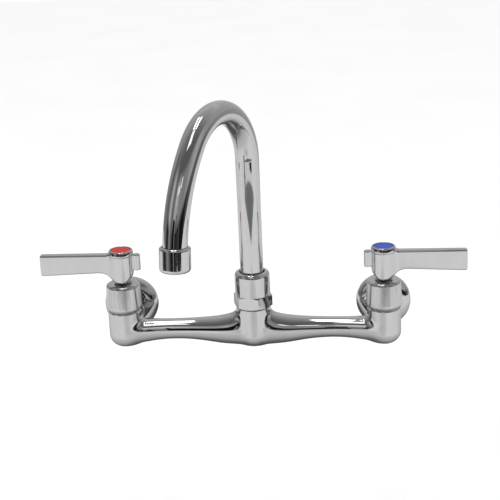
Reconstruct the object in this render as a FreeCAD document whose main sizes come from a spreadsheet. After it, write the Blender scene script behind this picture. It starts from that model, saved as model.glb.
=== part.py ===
import FreeCAD, Part
import math
import os
import Sketcher

# Driving sizes in millimetres and degrees
# Levels are heights above the arm axis, and depths run from the column axis back to the wall
SIZES = {
    # layout
    "inlet_spacing": 203.2,
    "column_standoff": 38.5,
    "inlet_rise": 9.4,
    "spout_swing": 23.9,
    # fits between pieces
    "running_fit": 0.05,
    "static_fit": 0.02,
    "free_gap": 0.35,
    # cross arms, each station with its radius and how far its centre sits below the arm axis
    "belly_radius": 11.8,
    "belly_drop": 2.6,
    "shoulder_reach": 26.0,
    "shoulder_radius": 10.9,
    "shoulder_drop": 1.2,
    "taper_reach": 40.0,
    "taper_radius": 9.2,
    "taper_drop": 0.55,
    "waist_radius": 8.1,
    "flare_reach": 21.6,
    "flare_radius": 8.8,
    "flare_drop": 0.8,
    "root_reach": 11.6,
    "root_radius": 9.7,
    "root_drop": 1.7,
    "arm_end_radius": 10.6,
    "arm_end_drop": 2.3,
    "boss_crease_round": 9.0,
    "column_crease_round": 3.0,
    "waterway_radius": 4.5,
    "sump_depth": 6.5,
    # valve columns
    "column_radius": 13.1,
    "column_top": 17.3,
    "column_top_chamfer": 1.2,
    "column_foot": 13.1,
    "column_foot_round": 9.5,
    "spigot_radius": 10.6,
    "spigot_height": 6.7,
    "chamber_radius": 9.0,
    "seat_level": 5.0,
    "lower_port_radius": 5.5,
    # inlet hubs behind the columns
    "neck_radius": 10.9,
    "neck_rise": 5.0,
    "neck_length": 14.4,
    "hub_radius": 13.0,
    "hub_length": 12.6,
    "hub_floor": 1.6,
    "inlet_bore": 4.0,
    # centre boss
    "boss_radius": 13.2,
    "boss_foot": 14.8,
    "boss_foot_round": 9.5,
    "boss_top": 18.7,
    "boss_thread_radius": 11.2,
    "boss_thread_height": 8.3,
    "boss_bore": 8.6,
    # wall side
    "shank_radius": 10.48,
    "shank_bore": 6.8,
    "shank_behind_wall": 27.0,
    "supply_radius": 10.2,
    "supply_length": 11.0,
    "runout_width": 2.0,
    "runout_depth": 1.2,
    "shank_chamfer": 1.0,
    "flange_radius": 21.6,
    "flange_depth": 9.5,
    "flange_round": 7.0,
    "flange_recess": 2.0,
    "flange_rim": 1.5,
    "gasket_land": 2.4,
    "locknut_flats": 25.0,
    "locknut_height": 6.0,
    # bonnet
    "bonnet_foot_radius": 12.9,
    "bonnet_low_radius": 14.1,
    "bonnet_flare_height": 1.7,
    "bonnet_band_height": 1.9,
    "bonnet_top_radius": 13.0,
    "bonnet_height": 21.1,
    "bonnet_hole": 6.2,
    "bonnet_edge_round": 2.2,
    "bonnet_flare_round": 1.2,
    # cartridge
    "barrel_wall": 1.05,
    "cartridge_flange_radius": 10.4,
    "cartridge_flange_height": 3.5,
    "gland_radius": 5.6,
    "gland_above_bonnet": 0.3,
    "seat_washer_height": 1.5,
    "seat_washer_bore": 5.6,
    "disc_height": 3.0,
    "port_radius": 2.0,
    "port_reach": 4.2,
    "notch_width": 4.0,
    "notch_reach": 3.0,
    "window_width": 8.0,
    "window_height": 3.7,
    # stem
    "stem_radius": 4.0,
    "stem_foot_height": 3.2,
    "stem_foot_radius": 7.2,
    "dog_width": 3.0,
    "dog_length": 5.0,
    "dog_height": 1.4,
    "stem_seal_section": 1.1,
    "stem_seal_level": 31.0,
    "stem_square": 5.5,
    "stem_square_height": 12.6,
    "screw_thread_radius": 1.9,
    "screw_reach": 9.0,
    # lever handle
    "handle_lift": 0.8,
    "handle_base_radius": 5.8,
    "handle_cone_height": 6.6,
    "handle_hub_radius": 9.3,
    "handle_hub_height": 20.7,
    "cap_radius": 9.7,
    "cap_flare_height": 2.6,
    "handle_height": 26.7,
    "cap_edge_round": 0.7,
    "blade_reach": 64.0,
    "blade_root_thickness": 7.0,
    "blade_root_low": 9.0,
    "blade_tip_thickness": 4.8,
    "blade_tip_low": 6.5,
    "blade_top": 23.3,
    "blade_edge_round": 0.9,
    "fin_thickness": 4.4,
    "fin_sink": 0.2,
    "fin_reach": 17.3,
    "fin_round": 15.0,
    "fin_sweep": 46.0,
    "fin_tail_reach": 10.8,
    "fin_tail_round": 4.0,
    "fin_tail_sweep": 75.0,
    "tail_radius": 2.8,
    "tail_reach": 12.2,
    "tail_low": 10.1,
    "tail_top": 23.1,
    "tail_web_inset": 0.75,
    "tail_edge_round": 0.6,
    "button_radius": 7.9,
    "button_height": 2.0,
    "button_sink": 0.2,
    "button_edge_round": 0.5,
    "screw_head_radius": 3.8,
    "screw_head_height": 2.6,
    "screw_head_sink": 6.3,
    "screw_head_round": 0.9,
    "screw_slot_width": 1.0,
    "screw_slot_depth": 1.2,
    # spout seat
    "collar_plug_length": 19.0,
    "collar_flange_radius": 10.8,
    "collar_flange_height": 4.0,
    "collar_spigot_height": 12.0,
    "collar_bore": 5.8,
    "collar_seal_section": 1.55,
    "collar_seal_low": 13.0,
    "collar_seal_high": 20.5,
    "glide_ring_height": 1.2,
    "glide_ring_bore": 9.5,
    "spout_nut_radius": 13.6,
    "spout_nut_flats": 27.0,
    "spout_nut_seat_step": 0.6,
    "spout_nut_turn": 49.0,
    "spout_nut_hex_height": 9.9,
    "spout_nut_height": 28.4,
    "spout_nut_bore": 9.9,
    "spout_nut_mouth": 0.4,
    "spout_nut_edge_round": 3.2,
    # gooseneck tube
    "tube_radius": 9.03,
    "tube_wall": 1.2,
    "riser_top": 135.5,
    "crown_radius": 45.2,
    "crown_turn": 137.4,
    "drop_radius": 123.3,
    "drop_turn": 37.8,
    "outlet_leg": 2.8,
    # aerator, with levels above its own mouth
    "aerator_radius": 11.35,
    "aerator_height": 18.2,
    "aerator_top_round": 1.95,
    "aerator_mouth_round": 3.0,
    "aerator_lip_radius": 7.6,
    "aerator_lip_height": 2.2,
    "aerator_washer_height": 1.4,
    "aerator_washer_bore": 6.5,
    "aerator_insert_height": 4.4,
    "aerator_port_radius": 1.3,
    "aerator_port_reach": 5.6,
    "screen_height": 1.0,
    "screen_hole_radius": 0.6,
    "screen_hole_pitch": 2.2,
}
SCREEN_RINGS = 3
INSERT_PORTS = 8
SIDES = {"hot": -1, "cold": 1}
TIGHT = 0.01

doc = FreeCAD.newDocument("splash_mount_faucet")
sheet = doc.addObject("Spreadsheet::Sheet", "Sizes")
for row, (alias, number) in enumerate(SIZES.items(), 1):
    sheet.set(f"A{row}", alias)
    sheet.set(f"B{row}", str(number))
    sheet.setAlias(f"B{row}", alias)
doc.recompute()


# A number together with the sheet expression that it comes from
class Size:
    def __init__(self, value, text):
        self.value = value
        self.text = text

    def __add__(self, other):
        other = as_size(other)
        return Size(self.value + other.value, f"({self.text} + {other.text})")

    def __sub__(self, other):
        other = as_size(other)
        return Size(self.value - other.value, f"({self.text} - {other.text})")

    def __mul__(self, other):
        other = as_size(other)
        return Size(self.value * other.value, f"({self.text} * {other.text})")

    def __truediv__(self, other):
        other = as_size(other)
        return Size(self.value / other.value, f"({self.text} / {other.text})")

    def __neg__(self):
        return Size(-self.value, f"(0 - {self.text})")


def as_size(item):
    if isinstance(item, Size):
        return item
    return Size(float(item), f"{float(item):.6f}")


def cosine(angle):
    angle = as_size(angle)
    return Size(math.cos(math.radians(angle.value)), f"cos({angle.text} * 1 deg)")


def sine(angle):
    angle = as_size(angle)
    return Size(math.sin(math.radians(angle.value)), f"sin({angle.text} * 1 deg)")


# Gives every sheet value as an attribute
class Named:
    def __getattr__(self, alias):
        return Size(SIZES[alias], f"Sizes.{alias}")


d = Named()


# Sketches and features
def new_body(label):
    body = doc.addObject("PartDesign::Body", label)
    body.Label = label
    return body


def new_sketch(body, role, lift=0.0):
    plane = next(item for item in body.Origin.OriginFeatures if item.Role == role)
    lift = as_size(lift)
    sketch = body.newObject("Sketcher::SketchObject", f"{body.Name}_sketch")
    sketch.AttachmentSupport = (plane, [""])
    sketch.MapMode = "FlatFace"
    sketch.AttachmentOffset = FreeCAD.Placement(FreeCAD.Vector(0, 0, lift.value), FreeCAD.Rotation())
    sketch.setExpression("AttachmentOffset.Base.z", lift.text)
    return sketch


def hold(sketch, kind, geo, pos, item):
    item = as_size(item)
    axis = -2 if kind == "DistanceX" else -1
    if abs(item.value) < 1e-9:
        sketch.addConstraint(Sketcher.Constraint("PointOnObject", geo, pos, axis))
        return
    index = sketch.addConstraint(Sketcher.Constraint(kind, -1, 1, geo, pos, item.value))
    sketch.setExpression(f"Constraints[{index}]", item.text)


def pin(sketch, geo, pos, u, v):
    hold(sketch, "DistanceX", geo, pos, u)
    hold(sketch, "DistanceY", geo, pos, v)


def join(sketch, first, second):
    sketch.addConstraint(Sketcher.Constraint("Coincident", first, 2, second, 1))


def set_radius(sketch, geo, radius):
    index = sketch.addConstraint(Sketcher.Constraint("Radius", geo, radius.value))
    sketch.setExpression(f"Constraints[{index}]", radius.text)


def vector(u, v):
    return FreeCAD.Vector(as_size(u).value, as_size(v).value, 0)


def polygon(sketch, points):
    corners = [vector(u, v) for u, v in points]
    first = sketch.GeometryCount
    for start, end in zip(corners, corners[1:] + corners[:1]):
        sketch.addGeometry(Part.LineSegment(start, end), False)
    for i, (u, v) in enumerate(points):
        join(sketch, first + i, first + (i + 1) % len(points))
        pin(sketch, first + i, 1, u, v)


def circle(sketch, u, v, radius):
    radius = as_size(radius)
    shape = Part.Circle(vector(u, v), FreeCAD.Vector(0, 0, 1), radius.value)
    geo = sketch.addGeometry(shape, False)
    pin(sketch, geo, 3, u, v)
    set_radius(sketch, geo, radius)


def rectangle(sketch, low_u, high_u, low_v, high_v):
    polygon(sketch, [(low_u, low_v), (high_u, low_v), (high_u, high_v), (low_u, high_v)])


def hexagon(sketch, flats, turn=0.0):
    reach = flats / as_size(math.sqrt(3))
    angles = [as_size(60 * i) + turn for i in range(6)]
    polygon(sketch, [(reach * cosine(angle), reach * sine(angle)) for angle in angles])


def add_feature(body, kind, **links):
    feature = body.newObject(kind, f"{body.Name}_{kind.split('::')[1].lower()}")
    for name, value in links.items():
        setattr(feature, name, value)
    body.Tip = feature
    return feature


def turned(body, points, role="XZ_Plane", cut=False):
    sketch = new_sketch(body, role)
    polygon(sketch, points)
    kind = "PartDesign::Groove" if cut else "PartDesign::Revolution"
    return add_feature(body, kind, Profile=sketch, ReferenceAxis=(sketch, ["V_Axis"]), Angle=360)


def padded(body, sketch, length, reverse=False):
    feature = add_feature(body, "PartDesign::Pad", Profile=sketch, Reversed=reverse)
    feature.setExpression("Length", as_size(length).text)


def pocketed(body, sketch, length, reverse=False):
    feature = add_feature(body, "PartDesign::Pocket", Profile=sketch, Reversed=reverse)
    feature.setExpression("Length", as_size(length).text)


def edges_of(shape, wanted):
    return [f"Edge{i}" for i, edge in enumerate(shape.Edges, 1) if wanted(edge)]


def rounded(body, radius, wanted):
    doc.recompute()
    base = body.Tip
    feature = add_feature(body, "PartDesign::Fillet", Base=(base, edges_of(base.Shape, wanted)))
    feature.setExpression("Radius", radius.text)


def chamfered(body, size, wanted):
    doc.recompute()
    base = body.Tip
    feature = add_feature(body, "PartDesign::Chamfer", Base=(base, edges_of(base.Shape, wanted)))
    feature.setExpression("Size", size.text)


# Picks a circular edge by its radius and its place along the turning axis
def ring_edge(radius, level, axis="z"):
    radius, level = as_size(radius), as_size(level)

    def wanted(edge):
        curve = edge.Curve
        if not isinstance(curve, Part.Circle):
            return False
        near = abs(getattr(curve.Center, axis) - level.value) < TIGHT
        return near and abs(curve.Radius - radius.value) < TIGHT

    return wanted


def any_of(*tests):
    return lambda edge: any(test(edge) for test in tests)


def place(item, x=0.0, y=0.0, z=0.0):
    for axis, value in zip("xyz", (x, y, z)):
        item.setExpression(f"Placement.Base.{axis}", as_size(value).text)


def ring(label, inner, outer, low, height, role="XZ_Plane"):
    body = new_body(label)
    high = low + height
    turned(body, [(inner, low), (outer, low), (outer, high), (inner, high)], role)
    return body


def disc(label, radius, low, height):
    body = new_body(label)
    sketch = new_sketch(body, "XY_Plane", low)
    circle(sketch, 0, 0, radius)
    padded(body, sketch, height)
    return body


def torus(label, inner, section, level):
    seal = doc.addObject("Part::Torus", label)
    seal.Label = label
    seal.setExpression("Radius1", (inner + section / 2).text)
    seal.setExpression("Radius2", (section / 2).text)
    seal.setExpression("Placement.Base.z", level.text)
    return seal


# Cuts the corners of a hexagon at an angle, on the face at a level
def corner_cut(body, flats, level, outward, role="XZ_Plane"):
    inner = flats / 2
    outer = flats * 0.65
    fall = (outer - inner) * 0.5
    lower = level - fall if outward > 0 else level + fall
    turned(body, [(inner, level), (outer, level), (outer, lower)], role, cut=True)


# Levels and depths that several pieces share
half_spacing = d.inlet_spacing / 2
spigot_top = d.column_top + d.spigot_height
bonnet_shoulder = spigot_top + d.cartridge_flange_height
bonnet_top = d.column_top + d.bonnet_height
barrel_low = d.seat_level + d.seat_washer_height
fixed_top = barrel_low + d.disc_height
moving_top = fixed_top + d.disc_height
foot_top = moving_top + d.stem_foot_height
barrel_radius = d.chamber_radius - d.static_fit
barrel_bore = barrel_radius - d.barrel_wall
gland_top = bonnet_top + d.gland_above_bonnet
handle_base = bonnet_top + d.handle_lift
handle_top = handle_base + d.handle_height
stem_shoulder = handle_base - d.free_gap
stem_top = stem_shoulder + d.stem_square_height
button_floor = handle_top - d.button_sink - d.button_height
screw_seat = button_floor - d.screw_head_sink
boss_thread_top = d.boss_top + d.boss_thread_height
collar_top = boss_thread_top + d.collar_flange_height
nut_shoulder = collar_top + d.glide_ring_height
nut_top = d.boss_top + d.spout_nut_height
hub_depth = d.neck_length + d.hub_length
socket_floor = d.neck_length + d.hub_floor
wall_depth = d.column_standoff
flange_back = hub_depth + d.flange_depth
gasket_front = flange_back - d.flange_recess
shank_end = wall_depth + d.shank_behind_wall
runout_back = shank_end - d.supply_length
runout_front = runout_back - d.runout_width
tube_bore = d.tube_radius - d.tube_wall
tube_end = d.aerator_lip_height + d.aerator_insert_height + d.aerator_washer_height
parts = []


# Puts a finished piece at its column, its boss or its inlet
def at_column(item, side):
    x = half_spacing * SIDES[side]
    place(item, x, -d.column_standoff, -d.inlet_rise)
    parts.append(item)


def at_inlet(item, side):
    place(item, half_spacing * SIDES[side], -d.column_standoff)
    parts.append(item)


# Body casting
def rod(radius, length, x, y, z, along="z"):
    item = doc.addObject("Part::Cylinder", "rod")
    turn = {
        "x": FreeCAD.Rotation(FreeCAD.Vector(0, 1, 0), 90),
        "y": FreeCAD.Rotation(FreeCAD.Vector(1, 0, 0), -90),
        "z": FreeCAD.Rotation(),
    }[along]
    item.Placement = FreeCAD.Placement(FreeCAD.Vector(), turn)
    item.setExpression("Radius", as_size(radius).text)
    item.setExpression("Height", as_size(length).text)
    place(item, x, y, z)
    return item


def arms():
    body = new_body("arms_form")
    flare_at = half_spacing - d.flare_reach
    stations = [
        (d.shoulder_reach, d.shoulder_radius, d.shoulder_drop),
        (d.taper_reach, d.taper_radius, d.taper_drop),
        ((d.taper_reach + flare_at) / 2, d.waist_radius, as_size(0)),
        (flare_at, d.flare_radius, d.flare_drop),
        (half_spacing - d.root_reach, d.root_radius, d.root_drop),
        (half_spacing, d.arm_end_radius, d.arm_end_drop),
    ]
    left = [(-reach, radius, drop) for reach, radius, drop in reversed(stations)]
    sketches = []
    for reach, radius, drop in left + [(as_size(0), d.belly_radius, d.belly_drop)] + stations:
        sketch = new_sketch(body, "YZ_Plane", reach)
        circle(sketch, 0, -drop, radius)
        sketches.append(sketch)
    add_feature(body, "PartDesign::AdditiveLoft", Profile=sketches[0], Sections=sketches[1:])
    return body


def column(side):
    body = new_body(f"{side}_column_form")
    turned(body, [
        (0, -d.column_foot), (d.column_radius, -d.column_foot), (d.column_radius, d.column_top),
        (d.spigot_radius, d.column_top), (d.spigot_radius, spigot_top), (0, spigot_top),
    ])
    rounded(body, d.column_foot_round, ring_edge(d.column_radius, -d.column_foot))
    chamfered(body, d.column_top_chamfer, ring_edge(d.column_radius, d.column_top))
    place(body, half_spacing * SIDES[side])
    return body


def boss():
    body = new_body("boss_form")
    turned(body, [
        (0, -d.boss_foot), (d.boss_radius, -d.boss_foot), (d.boss_radius, d.boss_top),
        (d.boss_thread_radius, d.boss_top), (d.boss_thread_radius, boss_thread_top), (0, boss_thread_top),
    ])
    rounded(body, d.boss_foot_round, ring_edge(d.boss_radius, -d.boss_foot))
    return body


# Edges where an arm runs into the boss or a column, each with its rounding
def creases(shape):
    found = []
    for i, edge in enumerate(shape.Edges, 1):
        kinds = {type(face.Surface) for face in shape.ancestorsOfType(edge, Part.Face)}
        if Part.BSplineSurface in kinds and len(kinds) > 1:
            at_boss = abs(edge.BoundBox.Center.x) < half_spacing.value / 2
            radius = d.boss_crease_round.value if at_boss else d.column_crease_round.value
            found.append((i, radius, radius))
    return found


def fused(name, shapes):
    item = doc.addObject("Part::MultiFuse", name)
    item.Shapes = shapes
    doc.recompute()
    return item


def casting():
    front = fused("casting_front", [arms(), boss()] + [column(side) for side in SIDES])
    smooth = doc.addObject("Part::Fillet", "casting_smooth")
    smooth.Base = front
    smooth.Edges = creases(front.Shape)
    solids = [smooth]
    cuts = [
        rod(d.waterway_radius, d.inlet_spacing, -half_spacing, 0, 0, "x"),
        rod(d.boss_bore, boss_thread_top + d.sump_depth, 0, 0, -d.sump_depth),
    ]
    socket_radius = d.shank_radius + d.static_fit
    for sign in SIDES.values():
        x = half_spacing * sign
        solids += [
            rod(d.neck_radius, d.neck_length, x, 0, d.neck_rise, "y"),
            rod(d.hub_radius, d.hub_length, x, d.neck_length, d.inlet_rise, "y"),
        ]
        cuts += [
            rod(d.chamber_radius, spigot_top - d.seat_level, x, 0, d.seat_level),
            rod(d.lower_port_radius, d.seat_level + d.sump_depth, x, 0, -d.sump_depth),
            rod(d.inlet_bore, socket_floor, x, 0, d.inlet_rise, "y"),
            rod(socket_radius, hub_depth - socket_floor, x, socket_floor, d.inlet_rise, "y"),
        ]
    item = doc.addObject("Part::Cut", "body_casting")
    item.Label = "body_casting"
    item.Base = fused("casting_solid", solids)
    item.Tool = fused("casting_hollow", cuts)
    place(item, 0, -d.column_standoff, -d.inlet_rise)
    parts.append(item)


# Wall side pieces, turned about the inlet axis
def shank(side):
    body = new_body(f"{side}_inlet_shank")
    low = d.supply_radius - d.runout_depth
    turned(body, [
        (d.shank_bore, socket_floor), (d.shank_radius, socket_floor), (d.shank_radius, runout_front),
        (low, runout_front), (low, runout_back), (d.supply_radius, runout_back),
        (d.supply_radius, shank_end), (d.shank_bore, shank_end),
    ], "XY_Plane")
    chamfered(body, d.shank_chamfer, ring_edge(d.supply_radius, shank_end, "y"))
    at_inlet(body, side)


def flange(side):
    body = new_body(f"{side}_wall_flange")
    bore = d.shank_radius + d.static_fit
    rim = d.flange_radius - d.flange_rim
    land = d.shank_radius + d.gasket_land
    turned(body, [
        (bore, hub_depth), (d.flange_radius, hub_depth), (d.flange_radius, flange_back),
        (rim, flange_back),
        (rim, gasket_front), (land, gasket_front), (land, flange_back), (bore, flange_back),
    ], "XY_Plane")
    rounded(body, d.flange_round, ring_edge(d.flange_radius, hub_depth, "y"))
    at_inlet(body, side)


def gasket(side):
    inner = d.shank_radius + d.gasket_land + d.static_fit
    outer = d.flange_radius - d.flange_rim - d.static_fit
    height = wall_depth - gasket_front
    body = ring(f"{side}_splash_gasket", inner, outer, gasket_front, height, "XY_Plane")
    at_inlet(body, side)


def locknut(side):
    body = new_body(f"{side}_locknut")
    front = runout_front - d.locknut_height
    sketch = new_sketch(body, "XZ_Plane", -front)
    hexagon(sketch, d.locknut_flats)
    circle(sketch, 0, 0, d.shank_radius + d.static_fit)
    padded(body, sketch, d.locknut_height, reverse=True)
    corner_cut(body, d.locknut_flats, runout_front, 1, "XY_Plane")
    corner_cut(body, d.locknut_flats, front, -1, "XY_Plane")
    at_inlet(body, side)


# Valve pieces, turned about the column axis
def bonnet(side):
    body = new_body(f"{side}_bonnet")
    bore = d.spigot_radius + d.static_fit
    flare_top = d.column_top + d.bonnet_flare_height
    band_top = flare_top + d.bonnet_band_height
    turned(body, [
        (bore, d.column_top), (d.bonnet_foot_radius, d.column_top), (d.bonnet_low_radius, flare_top),
        (d.bonnet_low_radius, band_top), (d.bonnet_top_radius, bonnet_top), (d.bonnet_hole, bonnet_top),
        (d.bonnet_hole, bonnet_shoulder), (bore, bonnet_shoulder),
    ])
    rounded(body, d.bonnet_flare_round, ring_edge(d.bonnet_low_radius, flare_top))
    top_edges = any_of(ring_edge(d.bonnet_top_radius, bonnet_top), ring_edge(d.bonnet_hole, bonnet_top))
    rounded(body, d.bonnet_edge_round, top_edges)
    at_column(body, side)


def cartridge(side):
    body = new_body(f"{side}_cartridge_body")
    bore = d.stem_radius + d.running_fit
    ceiling = foot_top + d.free_gap
    turned(body, [
        (barrel_bore, barrel_low), (barrel_radius, barrel_low), (barrel_radius, spigot_top),
        (d.cartridge_flange_radius, spigot_top), (d.cartridge_flange_radius, bonnet_shoulder),
        (d.gland_radius, bonnet_shoulder), (d.gland_radius, gland_top), (bore, gland_top),
        (bore, ceiling), (barrel_bore, ceiling),
    ])
    sketch = new_sketch(body, "XZ_Plane")
    rectangle(sketch, -d.window_width / 2, d.window_width / 2, fixed_top, fixed_top + d.window_height)
    pocketed(body, sketch, d.chamber_radius + d.barrel_wall)
    at_column(body, side)


def fixed_disc(side):
    body = new_body(f"{side}_fixed_disc")
    sketch = new_sketch(body, "XY_Plane", barrel_low)
    circle(sketch, 0, 0, barrel_bore - d.static_fit)
    for sign in (-1, 1):
        circle(sketch, d.port_reach * sign, 0, d.port_radius)
    padded(body, sketch, d.disc_height)
    at_column(body, side)


def moving_disc(side):
    body = new_body(f"{side}_moving_disc")
    outer = barrel_bore - d.free_gap
    sketch = new_sketch(body, "XY_Plane", fixed_top)
    circle(sketch, 0, 0, outer)
    padded(body, sketch, d.disc_height)
    sketch = new_sketch(body, "XY_Plane", moving_top)
    half = d.notch_width / 2
    rectangle(sketch, -half, half, d.notch_reach, barrel_bore)
    rectangle(sketch, -half, half, -barrel_bore, -d.notch_reach)
    pocketed(body, sketch, d.disc_height)
    sketch = new_sketch(body, "XY_Plane", moving_top)
    reach = d.dog_length + d.static_fit
    half = d.dog_width / 2 + d.static_fit
    rectangle(sketch, -reach, reach, -half, half)
    pocketed(body, sketch, d.dog_height + d.static_fit)
    at_column(body, side)


def stem(side):
    body = new_body(f"{side}_stem")
    groove = d.stem_radius - d.stem_seal_section
    groove_low = d.stem_seal_level - d.stem_seal_section / 2
    groove_high = d.stem_seal_level + d.stem_seal_section / 2
    turned(body, [
        (0, moving_top), (d.stem_foot_radius, moving_top), (d.stem_foot_radius, foot_top),
        (d.stem_radius, foot_top), (d.stem_radius, groove_low), (groove, groove_low),
        (groove, groove_high), (d.stem_radius, groove_high),
        (d.stem_radius, stem_shoulder), (0, stem_shoulder),
    ])
    sketch = new_sketch(body, "XY_Plane", moving_top)
    rectangle(sketch, -d.dog_length, d.dog_length, -d.dog_width / 2, d.dog_width / 2)
    padded(body, sketch, d.dog_height, reverse=True)
    sketch = new_sketch(body, "XY_Plane", stem_shoulder)
    half = d.stem_square / 2
    rectangle(sketch, -half, half, -half, half)
    padded(body, sketch, d.stem_square_height)
    sketch = new_sketch(body, "XY_Plane", stem_top)
    circle(sketch, 0, 0, d.screw_thread_radius + d.static_fit)
    pocketed(body, sketch, d.screw_reach + d.free_gap)
    at_column(body, side)


def seat_washer(side):
    outer = d.chamber_radius - d.static_fit
    washer = ring(f"{side}_seat_washer", d.seat_washer_bore, outer, d.seat_level, d.seat_washer_height)
    at_column(washer, side)


def stem_seal(side):
    inner = d.stem_radius - d.stem_seal_section
    seal = torus(f"{side}_stem_seal", inner, d.stem_seal_section, d.stem_seal_level)
    place(seal, half_spacing * SIDES[side], -d.column_standoff, d.stem_seal_level - d.inlet_rise)
    parts.append(seal)


# Lever handle with its screw and its index button
# Cross section of the blade, round on top
def blade_section(body, reach, thickness, low):
    sketch = new_sketch(body, "YZ_Plane", reach)
    half = thickness / 2
    low = handle_base + low
    spring = handle_base + d.blade_top - half
    corners = [(-half, spring), (-half, low), (half, low), (half, spring)]
    for (u, v), (next_u, next_v) in zip(corners, corners[1:]):
        sketch.addGeometry(Part.LineSegment(vector(u, v), vector(next_u, next_v)), False)
    crown = Part.Circle(vector(0, spring), FreeCAD.Vector(0, 0, 1), half.value)
    sketch.addGeometry(Part.ArcOfCircle(crown, 0, math.pi), False)
    for geo in range(3):
        join(sketch, geo, geo + 1)
        pin(sketch, geo, 1, *corners[geo])
    pin(sketch, 2, 2, *corners[3])
    sketch.addConstraint(Sketcher.Constraint("Coincident", 3, 2, 0, 1))
    hold(sketch, "DistanceY", 3, 3, spring)
    return sketch


def blade(body):
    root = blade_section(body, 0.0, d.blade_root_thickness, d.blade_root_low)
    tip = blade_section(body, d.blade_reach, d.blade_tip_thickness, d.blade_tip_low)
    add_feature(body, "PartDesign::AdditiveLoft", Profile=root, Sections=[tip], Ruled=True)
    rounded(body, d.blade_edge_round, lambda edge: edge.BoundBox.XMin > d.blade_reach.value - TIGHT)


# Round nub opposite the blade
def tail(body):
    low = handle_base + d.tail_low
    top = handle_base + d.tail_top
    sketch = new_sketch(body, "XY_Plane", low)
    circle(sketch, -d.tail_reach, 0, d.tail_radius)
    padded(body, sketch, top - low)
    rounded(body, d.tail_edge_round, any_of(ring_edge(d.tail_radius, low), ring_edge(d.tail_radius, top)))


# Fin through the hub that carries the blade and the tail, with a hollow curve below each
def fin(body):
    top = handle_base + d.tail_top - d.tail_web_inset
    blade_low = handle_base + d.blade_root_low - d.fin_sink
    tail_low = handle_base + d.tail_low + d.tail_web_inset
    blade_drop = d.fin_round - d.fin_round * cosine(d.fin_sweep)
    tail_drop = d.fin_tail_round - d.fin_tail_round * cosine(d.fin_tail_sweep)
    corners = [
        (d.fin_reach - d.fin_round * sine(d.fin_sweep), blade_low - blade_drop),
        (d.fin_reach, blade_low), (d.fin_reach, top), (-d.tail_reach, top), (-d.tail_reach, tail_low),
        (-d.fin_tail_reach, tail_low),
        (d.fin_tail_round * sine(d.fin_tail_sweep) - d.fin_tail_reach, tail_low - tail_drop),
    ]
    curves = {
        0: (d.fin_reach, blade_low, d.fin_round, 90, 90 + d.fin_sweep.value),
        5: (-d.fin_tail_reach, tail_low, d.fin_tail_round, 90 - d.fin_tail_sweep.value, 90),
    }
    sketch = new_sketch(body, "XZ_Plane", -d.fin_thickness / 2)
    for i, corner in enumerate(corners):
        following = corners[(i + 1) % len(corners)]
        if i in curves:
            u, v, radius, start, end = curves[i]
            shape = Part.Circle(vector(u, v - radius), FreeCAD.Vector(0, 0, 1), radius.value)
            sketch.addGeometry(Part.ArcOfCircle(shape, math.radians(start), math.radians(end)), False)
        else:
            sketch.addGeometry(Part.LineSegment(vector(*corner), vector(*following)), False)
    for i, (u, v) in enumerate(corners):
        following = (i + 1) % len(corners)
        end = 1 if i in curves else 2
        start = 2 if following in curves else 1
        sketch.addConstraint(Sketcher.Constraint("Coincident", i, end, following, start))
        pin(sketch, i, 2 if i in curves else 1, u, v)
    for i, curve in curves.items():
        set_radius(sketch, i, curve[2])
    padded(body, sketch, d.fin_thickness)


def handle(side):
    body = new_body(f"{side}_lever_handle")
    tail(body)
    fin(body)
    blade(body)
    flare_low = handle_base + d.handle_hub_height
    flare_top = flare_low + d.cap_flare_height
    turned(body, [
        (0, handle_base), (d.handle_base_radius, handle_base),
        (d.handle_hub_radius, handle_base + d.handle_cone_height), (d.handle_hub_radius, flare_low),
        (d.cap_radius, flare_top), (d.cap_radius, handle_top), (0, handle_top),
    ])
    rounded(body, d.cap_edge_round, ring_edge(d.cap_radius, handle_top))
    sketch = new_sketch(body, "XY_Plane", handle_top)
    circle(sketch, 0, 0, d.button_radius + d.static_fit)
    pocketed(body, sketch, handle_top - button_floor)
    sketch = new_sketch(body, "XY_Plane", button_floor)
    circle(sketch, 0, 0, d.screw_head_radius + d.free_gap)
    pocketed(body, sketch, d.screw_head_sink)
    sketch = new_sketch(body, "XY_Plane", screw_seat)
    circle(sketch, 0, 0, d.screw_thread_radius + d.free_gap)
    pocketed(body, sketch, screw_seat - stem_top)
    sketch = new_sketch(body, "XY_Plane", stem_top)
    half = d.stem_square / 2 + d.static_fit
    rectangle(sketch, -half, half, -half, half)
    pocketed(body, sketch, stem_top - handle_base)
    if SIDES[side] < 0:
        half_turn = FreeCAD.Rotation(FreeCAD.Vector(0, 0, 1), 180)
        body.Placement = FreeCAD.Placement(FreeCAD.Vector(), half_turn)
    at_column(body, side)


def handle_screw(side):
    body = new_body(f"{side}_handle_screw")
    head_top = screw_seat + d.screw_head_height
    low = stem_top - d.screw_reach
    turned(body, [
        (0, low), (d.screw_thread_radius, low), (d.screw_thread_radius, screw_seat),
        (d.screw_head_radius, screw_seat), (d.screw_head_radius, head_top), (0, head_top),
    ])
    rounded(body, d.screw_head_round, ring_edge(d.screw_head_radius, head_top))
    sketch = new_sketch(body, "XY_Plane", head_top)
    reach = d.screw_head_radius
    half = d.screw_slot_width / 2
    rectangle(sketch, -reach, reach, -half, half)
    rectangle(sketch, -half, half, half, reach)
    rectangle(sketch, -half, half, -reach, -half)
    pocketed(body, sketch, d.screw_slot_depth)
    at_column(body, side)


def index_button(side):
    body = disc(f"{side}_index_button", d.button_radius, button_floor, d.button_height)
    rounded(body, d.button_edge_round, ring_edge(d.button_radius, button_floor + d.button_height))
    at_column(body, side)


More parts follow.
